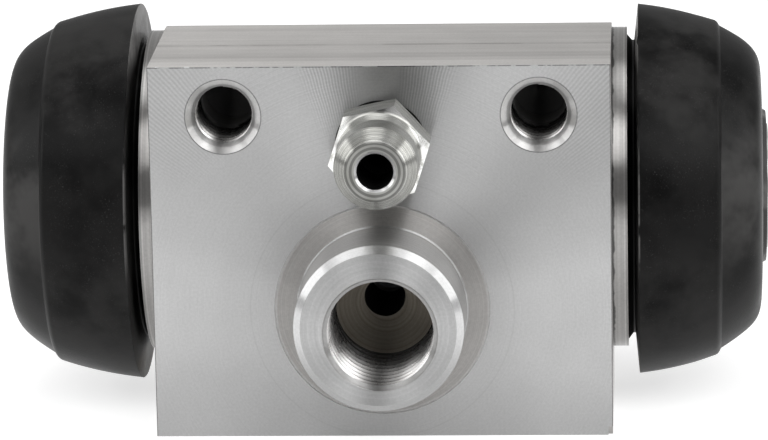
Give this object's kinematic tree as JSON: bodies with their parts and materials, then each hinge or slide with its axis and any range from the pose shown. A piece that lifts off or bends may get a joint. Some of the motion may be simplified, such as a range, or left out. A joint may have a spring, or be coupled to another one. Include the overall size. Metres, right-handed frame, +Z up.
{
  "type": "wheel cylinder",
  "caption": "Drum-brake wheel cylinder: extruded aluminium block with a through bore, opposed pistons under rubber boots, a threaded inlet boss, mounting holes and a bleed screw.",
  "frame": {"origin": "on the inlet boss's axis, in the plane of the mounting face", "axes": "+X along the cylinder, to the right when the mounting face is seen; +Y from the mounting face into the body; +Z up, from the inlet towards the bleed screw"},
  "size_m": [0.0699, 0.0453, 0.0361],
  "materials": {
    "body": "bare extruded aluminium, face turned, ends turned",
    "bleed_screw": "turned steel, zinc plated",
    "boot": "moulded matte black rubber",
    "piston": "turned and anodised",
    "cup_seal": "smooth black rubber",
    "cup_expander": "pressed steel sheet",
    "spring": "drawn spring wire"
  },
  "bodies": {
    "cylinder": {"body": "body", "boot_left": "boot", "boot_right": "boot", "return_spring": "spring"},
    "left_piston": {"piston_left": "piston", "cup_seal_left": "cup_seal", "cup_expander_left": "cup_expander"},
    "right_piston": {"piston_right": "piston", "cup_seal_right": "cup_seal", "cup_expander_right": "cup_expander"},
    "bleeder": {"bleed_screw": "bleed_screw"}
  },
  "joints": [
    {"name": "left_piston_slide", "type": "slide", "parent": "cylinder", "child": "left_piston", "axis": [-1, 0, 0], "range_m": [-0.003, 0.008], "deforming": ["boot_left", "return_spring"]},
    {"name": "right_piston_slide", "type": "slide", "parent": "cylinder", "child": "right_piston", "axis": [1, 0, 0], "range_m": [-0.003, 0.008], "deforming": ["boot_right", "return_spring"]},
    {"name": "bleed_screw_turn", "type": "hinge", "parent": "cylinder", "child": "bleeder", "pos_m": [0.00015, 0, 0.015], "axis": [0, -1, 0], "range_deg": [0, 360]}
  ]
}
